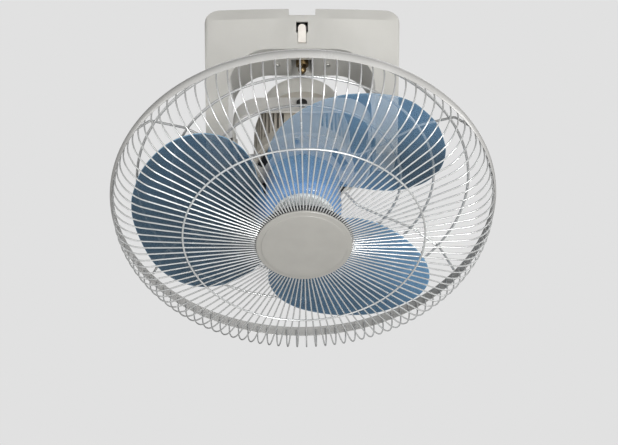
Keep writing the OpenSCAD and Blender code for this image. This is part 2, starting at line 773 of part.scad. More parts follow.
// A wire along a path of [radius, height] points. Each corner is taken on an arc of radius bend, a hair
// thicker than the straight lengths, which reach 0.1 into it.
module bent_wire(path, r, bend) {
    last = len(path) - 2;
    a = [for (k = [0:last]) atan2(path[k + 1][1] - path[k][1], path[k + 1][0] - path[k][0])];
    cut = [for (k = [0:last + 1]) k == 0 || k > last ? 0 : bend * tan(abs(a[k] - a[k - 1]) / 2)];
    for (k = [0:last]) {
        along = [cos(a[k]), sin(a[k])];
        rod(path[k] + (k == 0 ? 0 : cut[k] - 0.1) * along,
            path[k + 1] - (k == last ? 0 : cut[k + 1] - 0.1) * along, r);
    }
    for (k = [1:last]) {
        way = sign(a[k] - a[k - 1]);
        centre = path[k] - cut[k] * [cos(a[k - 1]), sin(a[k - 1])]
            + way * bend * [-sin(a[k - 1]), cos(a[k - 1])];
        translate([centre[0], 0, centre[1]]) rotate([90, 0, 0]) rotate([0, 0, min(a[k], a[k - 1]) - 90 * way])
            rotate_extrude(angle = abs(a[k] - a[k - 1])) translate([bend, 0]) circle(r = r + 0.02, $fn = 24);
    }
}

module rear_stays() {
    color([0.78, 0.78, 0.76]) head_frame() four_ways(stay_angle) bent_wire(stay_path, stay_r, stay_bend);
}

module stay_clamps() {
    z = flange_z + 2 * stay_r + 0.5;
    color([0.1, 0.1, 0.1]) head_frame() four_ways(stay_angle) difference() {
        translate([clamp_at - 4.5, -clamp_half - 4, z]) cube([9, 2 * clamp_half + 8, 1.6]);
        for (y = [-clamp_half, clamp_half]) translate([clamp_at, y, z - 1]) cylinder(r = 1.7, h = 4);
    }
}

module clamp_screws() {
    z = flange_z + 2 * stay_r + 0.5;
    color([0.06, 0.06, 0.06]) head_frame() four_ways(stay_angle) for (y = [-clamp_half, clamp_half])
        translate([clamp_at, y, 0]) {
        translate([0, 0, flange_z - 5]) cylinder(r = 1.5, h = z - flange_z + 7);
        translate([0, 0, z + 1.65]) cylinder(r = 3.2, h = 2);
    }
}

/* ---- Rotor ---- */

module motor_shaft() {
    color([0.68, 0.68, 0.7]) head_frame() translate([0, 0, layer_z[0] + gear_h + 0.3])
        cylinder(r = shaft_r, h = hub_top + 1 - layer_z[0] - gear_h - 0.3);
    color([0.68, 0.68, 0.7]) head_frame() translate([0, 0, layer_z[0]]) cylinder(r = 1.4, h = gear_h + 1);
}

module rotor_core() {
    color([0.5, 0.5, 0.52]) head_frame() {
        tube(core_z, core_z + core_l, rotor_r, shaft_r + 0.02);
        tube(core_z - 3, core_z + 0.1, rotor_r - 2, rotor_r - 9);
        tube(core_z + core_l - 0.1, core_z + core_l + 3, rotor_r - 2, rotor_r - 9);
    }
}

// Spur gear with straight-flanked teeth and wide backlash, tooth 0 on the +X axis.
module gear_shape(teeth, bore) {
    root = gear_m * (teeth / 2 - 1.15);
    tip = gear_m * (teeth / 2 + 0.8);
    pitch = 360 / teeth;
    difference() {
        polygon([for (k = [0:teeth - 1], p = [[root, -0.25], [tip, -0.1], [tip, 0.1], [root, 0.25]])
            polar(p[0], (k + p[1]) * pitch)]);
        circle(r = bore);
    }
}

module gear(teeth, z, turn, bore) {
    translate([0, 0, z]) rotate([0, 0, turn]) linear_extrude(gear_h) gear_shape(teeth, bore);
}

module shaft_pinion() {
    color([0.8, 0.7, 0.4]) head_frame() gear(small_teeth, layer_z[0], gear_a, 1.42);
}

module hub_body() {
    rotate_extrude($fn = 96) polygon([[hub_r - 3, hub_z], [hub_r - 1, hub_z], [hub_r, hub_top - 10],
        [hub_r - 2.5, hub_top - 4], [hub_r - 7, hub_top], [shaft_r + 0.02, hub_top],
        [shaft_r + 0.02, hub_top - 22], [12, hub_top - 22], [12, hub_top - 3.4],
        [hub_r - 8, hub_top - 3.4], [hub_r - 3.6, hub_top - 10]]);
}

// Outline of a blade seen from the front, its root on the axis and its tip on +X.
module blade_outline() {
    polygon([for (a = [0:7.5:359]) [blade_mid + 86 * cos(a) + blade_skew * sin(2 * a),
        -6 + blade_half_w * sin(a)]]);
}

module blade() {
    intersection() {
        translate([0, 0, hub_z]) linear_extrude(120) difference() {
            blade_outline();
            circle(r = hub_r - 3);
        }
        translate([120, blade_vertex_t, blade_vertex_z + blade_bend]) rotate([0, 90 - blade_rake, 0])
            translate([0, 0, -130]) linear_extrude(260) difference() {
                circle(r = blade_bend + blade_t / 2, $fn = fine);
                circle(r = blade_bend - blade_t / 2, $fn = fine);
            }
    }
}

module blade_set() {
    color([0.36, 0.5, 0.62, 0.8]) head_frame() {
        hub_body();
        for (k = [0:2]) rotate([0, 0, blade_first + 120 * k]) blade();
    }
}

module hub_cap() {
    color([0.74, 0.76, 0.76]) head_frame() rotate_extrude($fn = 96) polygon([[9.5, hub_top + 0.1],
        [hub_cap_r, hub_top + 0.1], [hub_cap_r, hub_top + 2.6], [hub_cap_r - 2, hub_top + 4.2],
        [20, hub_top + 5.2], [9.5, hub_top + 5.4]]);
}

module hub_nut() {
    color([0.5, 0.5, 0.5]) head_frame() difference() {
        union() {
            translate([0, 0, hub_top + 0.1]) cylinder(r = 9.2, h = 6.5);
            translate([0, 0, hub_top + 6.5]) cylinder(r = 6, h = 5);
        }
        translate([0, 0, hub_top - 1]) cylinder(r = shaft_r + 0.02, h = 2.4);
    }
}

/* ---- Orbit drive, in the head ---- */

module first_gear() {
    color([0.85, 0.84, 0.8]) head_frame() translate(gear_spot(gear_a)) {
        gear(large_teeth, layer_z[0], gear_a + 180 + 180 / large_teeth, pin_r + run_gap);
        gear(small_teeth, layer_z[1] + 0.4, gear_b - 60, pin_r + run_gap);
        tube(layer_z[1] + gear_h, layer_z[0] + 1, 1.9, pin_r + run_gap);
    }
}

module second_gear() {
    color([0.85, 0.84, 0.8]) head_frame() translate(gear_spot(gear_b)) {
        gear(large_teeth, layer_z[1], gear_b - 60 + 180 + 180 / large_teeth, pin_r + run_gap);
        gear(small_teeth, layer_z[2] + 0.4, gear_b + 180, pin_r + run_gap);
        tube(layer_z[2] + gear_h, layer_z[1] + 1, 1.9, pin_r + run_gap);
    }
}

module output_gear() {
    color([0.85, 0.84, 0.8]) head_frame() gear(large_teeth, layer_z[2], gear_b + 180 / large_teeth, 5.02);
}

module crank_shaft() {
    color([0.6, 0.6, 0.62]) head_frame() translate([0, 0, disc_z - disc_t + 2])
        cylinder(r = 5, h = layer_z[2] + gear_h - disc_z + disc_t - 2);
}

module crank_disc() {
    r = disc_r;
    color([0.75, 0.74, 0.7]) head_frame() difference() {
        rotate_extrude($fn = 96) union() {
            translate([0, disc_z - disc_t]) square([r - 3, disc_t]);
            translate([0, disc_z - disc_t + 3]) square([r, disc_t - 3]);
            translate([r - 3, disc_z - disc_t + 3]) circle(r = 3);
        }
        translate([0, 0, disc_z - disc_t + 2]) cylinder(r = 5.02, h = disc_t);
        rotate([0, 0, 90 - crank_angle]) translate([0, 0, ball_z]) along_x(28, r + 1, 3.02);
    }
}

module crank_stud() {
    color([0.6, 0.6, 0.62]) head_frame() rotate([0, 0, 90 - crank_angle]) translate([0, 0, ball_z])
        along_x(28.1, ball_off - ball_r + 1.2, 3);
}

module drive_ball() {
    color([0.72, 0.56, 0.28]) head_frame() rotate([0, 0, 90 - crank_angle]) translate([ball_off, 0, ball_z])
        difference() {
            sphere(r = ball_r);
            along_x(-ball_r - 1, -ball_r + 1.3, 3.02);
        }
}

base_cover();
ceiling_plate();
hanger_frame();
frame_bolts();
plate_screws();
cover_screws();
release_tab();
tab_pin();
terminal_block();
run_capacitor();
orbit_post();
orbit_socket();
trunnion_bushes();
lead_grommet();
gimbal_ring();
trunnion_pins();
pivot_bolts();
pivot_washers();
motor_rear_shell();
motor_front_shell();
through_bolts();
pivot_bushes();
stator_core();
stator_coils();
motor_bearings();
gear_cover();
gear_plates();
gear_pins();
output_bush();
guard_band();
front_wires();
front_ring();
centre_plate();
centre_cap();
cap_screw();
rear_ring_inner();
rear_ring_middle();
rear_ring_outer();
rear_stays();
stay_clamps();
clamp_screws();
motor_shaft();
rotor_core();
shaft_pinion();
blade_set();
hub_cap();
hub_nut();
first_gear();
second_gear();
output_gear();
crank_shaft();
crank_disc();
crank_stud();
drive_ball();
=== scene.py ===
import json
import math

import bmesh
import bpy
import numpy as np
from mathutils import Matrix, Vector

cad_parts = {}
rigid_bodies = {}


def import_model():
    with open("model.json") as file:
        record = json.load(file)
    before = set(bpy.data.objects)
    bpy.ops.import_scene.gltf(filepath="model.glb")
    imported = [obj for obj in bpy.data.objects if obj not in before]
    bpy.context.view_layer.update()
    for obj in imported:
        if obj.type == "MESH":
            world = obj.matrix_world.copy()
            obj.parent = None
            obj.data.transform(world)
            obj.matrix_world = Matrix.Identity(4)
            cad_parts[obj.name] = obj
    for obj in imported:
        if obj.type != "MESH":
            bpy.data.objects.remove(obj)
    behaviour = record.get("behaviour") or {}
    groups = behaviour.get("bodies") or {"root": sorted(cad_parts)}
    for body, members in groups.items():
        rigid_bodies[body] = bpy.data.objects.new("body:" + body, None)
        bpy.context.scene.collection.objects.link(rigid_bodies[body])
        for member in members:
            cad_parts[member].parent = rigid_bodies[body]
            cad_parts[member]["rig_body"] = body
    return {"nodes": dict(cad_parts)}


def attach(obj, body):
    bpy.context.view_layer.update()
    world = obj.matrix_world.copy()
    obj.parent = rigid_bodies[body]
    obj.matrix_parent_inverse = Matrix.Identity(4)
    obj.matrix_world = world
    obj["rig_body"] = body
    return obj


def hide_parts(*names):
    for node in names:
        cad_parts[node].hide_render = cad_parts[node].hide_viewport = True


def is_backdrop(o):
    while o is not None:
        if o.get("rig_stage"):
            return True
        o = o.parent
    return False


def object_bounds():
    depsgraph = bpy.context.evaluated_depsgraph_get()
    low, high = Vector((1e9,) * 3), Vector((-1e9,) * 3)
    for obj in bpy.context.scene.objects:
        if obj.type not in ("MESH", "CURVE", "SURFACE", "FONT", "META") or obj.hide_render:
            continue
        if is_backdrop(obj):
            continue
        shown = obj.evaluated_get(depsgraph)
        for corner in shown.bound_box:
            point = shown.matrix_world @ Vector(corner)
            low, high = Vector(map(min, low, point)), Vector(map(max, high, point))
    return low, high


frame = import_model()
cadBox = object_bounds()
scene = bpy.context.scene
print("frame loaded:", len(frame["nodes"]), "parts")

# The lean of the head in degrees, its place on the orbit, and the gimbal centre's drop in mm.
stance = {"lean": 32.0, "phase": 2.0, "drop": 165.0}

lean, phase = math.radians(stance["lean"]), math.radians(stance["phase"])
side = math.asin(math.sin(phase) * math.sin(lean))
fore = math.atan2(math.cos(phase) * math.sin(lean), math.cos(lean))
pivot = np.array([0.0, 0.0, -stance["drop"]])
forward = np.array([math.sin(side), -math.sin(fore) * math.cos(side), -math.cos(fore) * math.cos(side)])
across = np.array([math.cos(side), math.sin(fore) * math.sin(side), math.cos(fore) * math.sin(side)])
headAxes = np.array([across, np.cross(forward, across), forward])


# Points in mm in the head's own frame, +Z out of the front of the guard, to metres in the row's frame.
def inHead(points):
    return (pivot + np.asarray(points, float) @ headAxes) / 1000


# Faces of count grids of nu by nv points that follow each other, joined round where closed.
def gridFaces(nu, nv, closeU=False, closeV=False, count=1):
    u = np.arange(nu if closeU else nu - 1)
    v = np.arange(nv if closeV else nv - 1)
    a, b = np.meshgrid(u, v, indexing="ij")
    corner = lambda i, j: (i % nu) * nv + j % nv
    quads = np.stack([corner(a, b), corner(a + 1, b), corner(a + 1, b + 1), corner(a, b + 1)], -1)
    return (quads.reshape(-1, 4) + (np.arange(count) * nu * nv)[:, None, None]).reshape(-1, 4).tolist()


# The two end rings of each of count tubes, as single faces.
def endFaces(nu, nv, count=1):
    ring = np.arange(nv)
    starts = np.arange(count)[:, None] * nu * nv
    return (starts + ring[::-1]).tolist() + (starts + (nu - 1) * nv + ring).tolist()


# Points and faces to an object on a body: doubles merged, normals outward, edges over smooth degrees kept
# sharp. marks are named values, one for each point, that a finish can read.
def build(name, points, faces, body, material, replaces, smooth, marks=None):
    mesh = bpy.data.meshes.new(name)
    mesh.from_pydata(np.asarray(points, float).reshape(-1, 3).tolist(), [], faces)
    for key, values in (marks or {}).items():
        mark = mesh.attributes.new(key, "FLOAT", "POINT")
        mark.data.foreach_set("value", np.asarray(values, float).ravel())
    work = bmesh.new()
    work.from_mesh(mesh)
    bmesh.ops.remove_doubles(work, verts=work.verts, dist=1e-7)
    bmesh.ops.recalc_face_normals(work, faces=work.faces)
    work.to_mesh(mesh)
    work.free()
    mesh.shade_smooth()
    mesh.set_sharp_from_angle(angle=math.radians(smooth))
    piece = bpy.data.objects.new(name, mesh)
    scene.collection.objects.link(piece)
    mesh.materials.append(material)
    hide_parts(*replaces)
    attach(piece, body)


# Several grids in one mesh: each is (points, faces).
def joined(parts):
    points, faces, start = [], [], 0
    for grid, quads in parts:
        flat = np.asarray(grid, float).reshape(-1, 3)
        points.append(flat)
        faces += [[i + start for i in quad] for quad in quads]
        start += len(flat)
    return np.concatenate(points), faces


# A closed profile of (radius, height) turned about +Z: x = r cos a, y = r sin a.
def turned(profile, steps):
    a = np.linspace(0, 2 * math.pi, steps, endpoint=False)[:, None]
    r, z = np.asarray(profile, float).T[:, None, :]
    grid = np.stack([r * np.cos(a), r * np.sin(a), z + 0 * a], -1)
    return grid, gridFaces(steps, len(profile), True, True)


# A round section carried along a path that stays in one plane; across is that plane's normal.
# Point = path + radius (cos v * normal + sin v * across), where normal = across x tangent.
def tube(path, radius, across, sides, closed=False):
    path = np.asarray(path, float)
    ahead = np.roll(path, -1, 0) - np.roll(path, 1, 0) if closed else np.gradient(path, axis=0)
    tangent = ahead / np.linalg.norm(ahead, axis=1, keepdims=True)
    normal = np.cross(across, tangent)
    v = np.linspace(0, 2 * math.pi, sides, endpoint=False)[None, :, None]
    grid = path[:, None] + radius * (np.cos(v) * normal[:, None] + np.sin(v) * np.asarray(across, float))
    quads = gridFaces(len(path), sides, closed, True)
    return grid, quads if closed else quads + endFaces(len(path), sides)


# Points of a path with each bend taken as a quadratic curve that starts and ends reach before it.
def eased(corners, reach, steps=6):
    corners = np.asarray(corners, float)
    t = np.linspace(0, 1, steps)[:, None]
    out = [corners[:1]]
    for a, b, c in zip(corners[:-2], corners[1:-1], corners[2:]):
        cut = min(reach, 0.45 * np.linalg.norm(b - a), 0.45 * np.linalg.norm(c - b))
        p = b + (a - b) / np.linalg.norm(a - b) * cut
        q = b + (c - b) / np.linalg.norm(c - b) * cut
        out.append((1 - t) ** 2 * p + 2 * t * (1 - t) * b + t ** 2 * q)
    return np.concatenate(out + [corners[-1:]])


# A closed curve through the given points: on each span the cubic with Catmull-Rom slopes.
def closedCurve(points, steps):
    p = np.asarray(points, float)
    t = np.linspace(0, 1, steps, endpoint=False)[None, :, None]
    a, b, c, d = (np.roll(p, k, 0)[:, None] for k in (1, 0, -1, -2))
    curve = b + 0.5 * t * (c - a + t * (2 * a - 5 * b + 4 * c - d + t * (3 * (b - c) + d - a)))
    return curve.reshape(-1, p.shape[1])


# A copy of a CAD part with its flat faces joined and its edges rounded; the part itself is left alone.
def rounded(node, material, edge, segments):
    angle = math.radians(30)
    source = frame["nodes"][node]
    mesh = source.data.copy()
    mesh.materials.clear()
    mesh.materials.append(material)
    work = bmesh.new()
    work.from_mesh(mesh)
    bmesh.ops.remove_doubles(work, verts=work.verts, dist=2e-6)
    bmesh.ops.dissolve_limit(work, angle_limit=math.radians(0.3), verts=work.verts, edges=work.edges)
    work.to_mesh(mesh)
    work.free()
    mesh.shade_smooth()
    mesh.set_sharp_from_angle(angle=angle)
    piece = bpy.data.objects.new(node + "_finished", mesh)
    scene.collection.objects.link(piece)
    if edge:
        bevel = piece.modifiers.new("roundedEdges", "BEVEL")
        bevel.width = edge
        bevel.segments = segments
        bevel.limit_method = "ANGLE"
        bevel.angle_limit = angle
        bevel.harden_normals = True
        bevel.use_clamp_overlap = True
    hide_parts(node)
    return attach(piece, source["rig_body"])


# A value or colour that changes over a surface. Sums and products add their Math nodes.
class Field:
    def __init__(self, tree, socket):
        self.tree = tree
        self.socket = socket

    # Any node: its kind, its settings, which are set first, and its sockets' values or links.
    def make(self, kind, settings=None, sockets=None, output=0):
        node = self.tree.nodes.new(kind)
        for key, value in (settings or {}).items():
            setattr(node, key, value)
        for key, value in (sockets or {}).items():
            if isinstance(value, Field):
                self.tree.links.new(value.socket, node.inputs[key])
            else:
                node.inputs[key].default_value = value
        return Field(self.tree, node.outputs[output])

    def maths(self, operation, a, b):
        return self.make("ShaderNodeMath", {"operation": operation}, {0: a, 1: b})

    def __add__(self, other):
        return self.maths("ADD", self, other)

    __radd__ = __add__

    def __mul__(self, other):
        return self.maths("MULTIPLY", self, other)

    __rmul__ = __mul__

    def __sub__(self, other):
        return self.maths("SUBTRACT", self, other)

    # Smooth noise, 0 to 1, with features about size metres across.
    def noise(self, size, detail, stretch=(1, 1, 1)):
        scale = tuple(s / size for s in stretch)
        place = self.make("ShaderNodeMapping", None, {"Vector": self, "Scale": scale})
        return self.make("ShaderNodeTexNoise", None, {"Vector": place, "Scale": 1.0, "Detail": detail})

    # 0 below low, 1 above high and a smooth step between.
    def between(self, low, high):
        return self.make("ShaderNodeMapRange", {"interpolation_type": "SMOOTHSTEP"},
                         {"Value": self, "From Min": low, "From Max": high})

    # One colour where this is 0, the other where it is 1.
    def blend(self, dark, light):
        sockets = {0: self, 6: dark if isinstance(dark, Field) else (*dark, 1),
                   7: light if isinstance(light, Field) else (*light, 1)}
        return self.make("ShaderNodeMix", {"data_type": "RGBA"}, sockets, 2)

    # This height as a bump of so many metres.
    def bump(self, depth):
        return self.make("ShaderNodeBump", None, {"Height": self, "Distance": depth, "Strength": 1.0})


# A finish: its constants go on the Principled shader's sockets, and detail(place, shader) links what changes.
def finish(name, detail, **constants):
    material = bpy.data.materials.new(name)
    material.use_nodes = True
    tree = material.node_tree
    shader = tree.nodes["Principled BSDF"]
    for key, value in constants.items():
        shader.inputs[key.replace("_", " ")].default_value = value
    place = Field(tree, None).make("ShaderNodeTexCoord", None, None, 3)
    for key, value in detail(place).items():
        tree.links.new(value.socket, shader.inputs[key])
    return material


# Moulded or painted: two near tones, a little unevenness in the gloss and a fine skin.
def skin(dark, light, rough, size=0.03, grain=0.0012, depth=0.00002):
    def detail(place):
        cloud = place.noise(size, 4)
        speck = place.noise(grain, 2)
        return {"Base Color": (cloud * 0.8 + speck * 0.2).between(0.3, 0.7).blend(dark, light),
                "Roughness": rough + cloud * 0.08 + speck * 0.04 - 0.06,
                "Normal": (speck + cloud * 0.5).bump(depth)}
    return detail


# Turned or rolled metal: fine lines along one way and faint stains.
def metal(dark, light, rough, stretch=(1, 1, 12), size=0.004):
    def detail(place):
        line = place.noise(size, 4, stretch)
        stain = place.noise(0.02, 3)
        return {"Base Color": (line * 0.6 + stain * 0.4).between(0.3, 0.7).blend(dark, light),
                "Roughness": rough + line * 0.15 + stain * 0.1 - 0.1,
                "Normal": line.bump(0.00003)}
    return detail


finishes = {
    "cover": finish("coverMoulding", skin((0.49, 0.482, 0.452), (0.53, 0.522, 0.492), 0.34, 0.06),
                    Coat_Weight=0.3),
    "tab": finish("tabMoulding", skin((0.7, 0.66, 0.6), (0.78, 0.74, 0.68), 0.3, 0.01)),
    "band": finish("bandEnamel", skin((0.42, 0.415, 0.4), (0.47, 0.465, 0.45), 0.26, 0.05), Coat_Weight=0.6),
    "wire": finish("wireEnamel", skin((0.52, 0.525, 0.52), (0.6, 0.605, 0.6), 0.26, 0.02),
                   Coat_Weight=0.3, Metallic=0.45),
    "motor": finish("motorEnamel", skin((0.62, 0.58, 0.51), (0.68, 0.64, 0.57), 0.42, 0.03, 0.0008, 0.00004)),
    "dome": finish("gearCoverEnamel",
                   skin((0.72, 0.71, 0.67), (0.78, 0.77, 0.73), 0.42, 0.03, 0.0008, 0.00004)),
    "strap": finish("strapEnamel", skin((0.6, 0.59, 0.565), (0.68, 0.67, 0.64), 0.32, 0.03)),
    "cap": finish("capMoulding", skin((0.29, 0.283, 0.262), (0.31, 0.302, 0.28), 0.34, 0.02, 0.0006),
                  Coat_Weight=0.2),
    "hubCap": finish("hubCapMoulding", skin((0.82, 0.86, 0.85), (0.86, 0.9, 0.89), 0.3, 0.02)),
    "black": finish("blackMoulding", skin((0.008, 0.008, 0.008), (0.018, 0.017, 0.017), 0.45, 0.01)),
    "rubber": finish("grommetRubber", skin((0.02, 0.02, 0.02), (0.035, 0.034, 0.033), 0.7, 0.01)),
    "zinc": finish("zincPlate", metal((0.5, 0.5, 0.48), (0.68, 0.68, 0.65), 0.35), Metallic=1.0),
    "steel": finish("turnedSteel", metal((0.4, 0.4, 0.41), (0.56, 0.56, 0.57), 0.28), Metallic=1.0),
    "brass": finish("turnedBrass", metal((0.16, 0.11, 0.05), (0.34, 0.25, 0.13), 0.36), Metallic=1.0),
    "bronze": finish("sinteredBronze", metal((0.34, 0.2, 0.1), (0.48, 0.31, 0.16), 0.5), Metallic=1.0),
    "core": finish("coreLaminations",
                   metal((0.02, 0.018, 0.016), (0.07, 0.064, 0.058), 0.5, (30, 1, 1), 0.003)),
    "copper": finish("windingCopper", metal((0.1, 0.03, 0.012), (0.2, 0.07, 0.03), 0.4, (1, 14, 1), 0.003),
                     Metallic=0.6),
    "nylon": finish("gearNylon", skin((0.66, 0.64, 0.57), (0.74, 0.72, 0.66), 0.45, 0.008)),
    "white": finish("whiteMoulding", skin((0.66, 0.66, 0.62), (0.74, 0.74, 0.71), 0.4, 0.012)),
}

# colour is for the darkest and the lightest places, which are painted shade and painted light. solid is the
# share of a skin that isn't clear, where least and where most shows through; glance and edge add to it at a
# slant and on the rim. rim is the colour of the rim's painted highlight, hub the painted light towards the
# hub and glow its painted glow. mottle is how far the tone wanders, and the last entry how strongly the
# painted glow runs in streaks round the hub. Colours are in linear light.
plastic = {"tint": (0.97, 0.95, 0.92), "colour": ((0.033, 0.073, 0.115), (0.18, 0.37, 0.6)),
           "rim": (0.3, 0.5, 0.68), "hub": (0.16, 0.3, 0.5), "glow": (0.09, 0.2, 0.4),
           "solid": (0.8, 0.26), "glance": 0.1, "edge": 0.2, "mottle": 0.25, "streakContrast": 0.35}


# Translucent blue moulding: a tinted clear shader under a glossy blue one. Marks on the mesh say where it is
# painted lighter or darker as painted light and shade (tone), where more shows through (clear), where its
# edge is, painted lighter there as a painted highlight (rim), and where it is painted lighter and has a
# painted glow though it is no lamp, strongest at the hub and in streaks round it (hub and the streaks).
def bladeFinish(name, look):
    def detail(place):
        flow = place.noise(0.045, 4)
        speck = place.noise(0.0015, 2)
        tone, rim, hub, glowStreaks = (place.make("ShaderNodeAttribute", {"attribute_name": k}, None, 2)
                                for k in ("tone", "rim", "hub", "glowStreaks"))
        # painted light and shade: the tone picks the skin's colour between its darkest and lightest
        skinColour = (tone + (flow - 0.5) * look["mottle"]).between(0, 1).blend(*look["colour"])
        # painted glow, strongest towards the hub's front and in streaks round it
        paintedGlow = hub * (1 - look["streakContrast"] + look["streakContrast"] * glowStreaks)
        # base colour painted lighter towards the hub as painted light and on the rim as a painted highlight;
        # the emission is the painted glow
        return {"Base Color": rim.blend(hub.blend(skinColour, look["hub"]), look["rim"]),
                "Roughness": 0.2 + flow * 0.1 + speck * 0.03,
                "Normal": (flow * 0.7 + speck * 0.3).bump(0.00006),
                "Emission Color": paintedGlow.blend((0, 0, 0), look["glow"])}
    material = finish(name, detail, Coat_Weight=0.3, Emission_Strength=1.0)
    tree = material.node_tree
    shader, output = tree.nodes["Principled BSDF"], tree.nodes["Material Output"]
    start = Field(tree, shader.outputs[0])
    clear = start.make("ShaderNodeBsdfTransparent", None, {"Color": (*look["tint"], 1)})
    slant = start.make("ShaderNodeLayerWeight", None, {"Blend": 0.35}, 1)
    clearness, rim = (start.make("ShaderNodeAttribute", {"attribute_name": k}, None, 2)
                      for k in ("clear", "rim"))
    most, least = look["solid"]
    solid = most + clearness * (least - most) + slant * look["glance"] + rim * look["edge"]
    both = start.make("ShaderNodeMixShader", None, {0: solid, 1: clear, 2: start})
    tree.links.new(both.socket, output.inputs["Surface"])
    return material


finishes["blade"] = bladeFinish("bladeMoulding", plastic)
print("finishes made:", len(finishes))

# Eye in mm, upward tilt in degrees, focal length and picture width in pixels.
view = {"eye": (8.6, -1338.2, -587.4), "rise": 13.6, "focal": 1124.0, "width": 618, "sensor": 36.0}
camera = bpy.data.objects.new("camera", bpy.data.cameras.new("camera"))
scene.collection.objects.link(camera)
camera.location = tuple(v / 1000 for v in view["eye"])
camera.rotation_euler = (math.radians(90 + view["rise"]), 0, 0)
camera.data.sensor_width = view["sensor"]
camera.data.lens = view["sensor"] * view["focal"] / view["width"]
camera.data.clip_end = 50
scene.camera = camera
scene.view_settings.view_transform = "Standard"

# Sky is what the eye sees, dim what it sees through the blades, glow the soft light all round.
# Lamps have a power in watts, a size in metres and a place, and point at aim.
light = {"sky": 0.753, "dim": 0.03, "glow": 0.2, "aim": (0, -0.05, -0.2),
         "lamps": {"key": (74, 1.1, (0.85, -2.2, -1.1)), "fill": (18, 1.6, (-1.5, -1.9, -0.8)),
                   "left": (3, 0.7, (-1.7, -0.3, -0.1)), "right": (5, 0.7, (1.7, -0.2, -0.1)),
                   "top": (7, 1.6, (0.2, 1.2, 1.0))}}
world = bpy.data.worlds.new("studio")
scene.world = world
world.use_nodes = True
tree = world.node_tree
tree.nodes["Background"].inputs["Color"].default_value = (1, 1, 1, 1)
tree.nodes["Background"].inputs["Strength"].default_value = light["glow"]
glow = Field(tree, tree.nodes["Background"].outputs[0])
sky, dim = (glow.make("ShaderNodeBackground", None, {"Color": (1, 1, 1, 1), "Strength": light[k]})
            for k in ("sky", "dim"))
seen, depth = (glow.make("ShaderNodeLightPath", None, None, k)
               for k in ("Is Camera Ray", "Transparent Depth"))
behind = depth.maths("MINIMUM", depth, 1.0)
wall = glow.make("ShaderNodeMixShader", None, {0: behind, 1: sky, 2: dim})
both = glow.make("ShaderNodeMixShader", None, {0: seen, 1: glow, 2: wall})
tree.links.new(both.socket, tree.nodes["World Output"].inputs["Surface"])

for name, (power, size, place) in light["lamps"].items():
    lamp = bpy.data.objects.new(name, bpy.data.lights.new(name, "AREA"))
    lamp.data.energy = power
    lamp.data.size = size
    lamp.location = place
    aim = np.array(light["aim"]) - place
    turn = math.atan2(aim[1], aim[0]) - math.pi / 2
    lamp.rotation_euler = (math.acos(-aim[2] / np.linalg.norm(aim)), 0, turn)
    scene.collection.objects.link(lamp)


# The floor's half width and its height in metres, its two tones and its glow.
ground = {"reach": 4, "height": -2.5, "tones": ((0.7, 0.7, 0.69), (0.74, 0.74, 0.73)),
          "glow": (0.42, 0.42, 0.41)}


# It lies far below the lamps, so it glows a little to the eye and sends none of that back to the fan.
def floorFinish(place):
    plain = skin(*ground["tones"], 0.6, 0.4, 0.01, 0.0001)(place)
    eye = place.make("ShaderNodeLightPath", None, None, "Is Camera Ray")
    return plain | {"Emission Color": eye.blend((0, 0, 0), ground["glow"])}


floorMesh = bpy.data.meshes.new("floor")
floorMesh.from_pydata([(x * ground["reach"], y * ground["reach"], ground["height"])
                       for x, y in ((-1, -1), (1, -1), (1, 1), (-1, 1))], [], [(0, 1, 2, 3)])
floorMesh.materials.append(finish("paleFloor", floorFinish, Emission_Strength=1.0))
floor = bpy.data.objects.new("floor", floorMesh)
scene.collection.objects.link(floor)
floor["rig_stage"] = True
print("camera, light and floor placed")

# Millimetres and degrees. weld is the gap left between wires that touch, foot how far above the band's rear
# edge a wire ends, lip how far the band's edges stand out and trim how much they are drawn in.
guard = {"wires": 108, "first": 0.77, "wireRadius": 0.9, "slope": 4.5, "start": 48.5, "shoulder": 40.0,
         "shoulderZ": 122.0, "foot": 7.2, "weld": 0.05, "bandInside": 222.0, "band": (106.0, 122.0),
         "bulge": 3.0, "lip": 0.45, "trim": (0.5, 0.3), "frontRing": 138.0, "ringRadius": 1.1}
shoulderAt = guard["bandInside"] - guard["wireRadius"] - guard["weld"] - guard["shoulder"]
slope = math.radians(guard["slope"])
knee = (shoulderAt + guard["shoulder"] * math.sin(slope),
        guard["shoulderZ"] + guard["shoulder"] * math.cos(slope))


# Height of a front wire's centre line on its straight part.
def wireHeight(r):
    return knee[1] + (knee[0] - r) * math.tan(slope)


# Centre line in (radius, height): straight from under the cap to the knee, round the shoulder on an arc, and
# straight down inside the band. Point = line + wireRadius (cos v * normal + sin v * sideways), turned by the
# wire's own angle about the head's axis.
def frontWires():
    w = guard
    sides = 8
    straight = np.linspace(w["start"], knee[0], 7)[:-1]
    turn = np.linspace(math.pi / 2 - slope, 0, 12)
    r = np.concatenate([straight, shoulderAt + w["shoulder"] * np.cos(turn), [shoulderAt + w["shoulder"]]])
    z = np.concatenate([wireHeight(straight), w["shoulderZ"] + w["shoulder"] * np.sin(turn),
                        [w["band"][0] + w["foot"]]])
    ahead = np.gradient(np.stack([r, z], -1), axis=0)
    ahead /= np.linalg.norm(ahead, axis=1, keepdims=True)
    v = np.linspace(0, 2 * math.pi, sides, endpoint=False)
    out = w["wireRadius"] * np.cos(v)
    r2 = r[:, None] - ahead[:, 1:] * out
    z2 = z[:, None] + ahead[:, :1] * out
    sideways = np.broadcast_to(w["wireRadius"] * np.sin(v), r2.shape)
    a = 2 * math.pi * np.arange(w["wires"]) / w["wires"] + math.radians(w["first"])
    a = a[:, None, None] + 0 * r2
    grid = np.stack([r2 * np.cos(a) - sideways * np.sin(a), r2 * np.sin(a) + sideways * np.cos(a),
                     z2 + 0 * a], -1)
    return grid, gridFaces(len(r), sides, False, True, w["wires"]) + endFaces(len(r), sides, w["wires"])


grid, quads = frontWires()
build("frontWires", inHead(grid), quads, "head", finishes["wire"], ["front_wires"], 60)


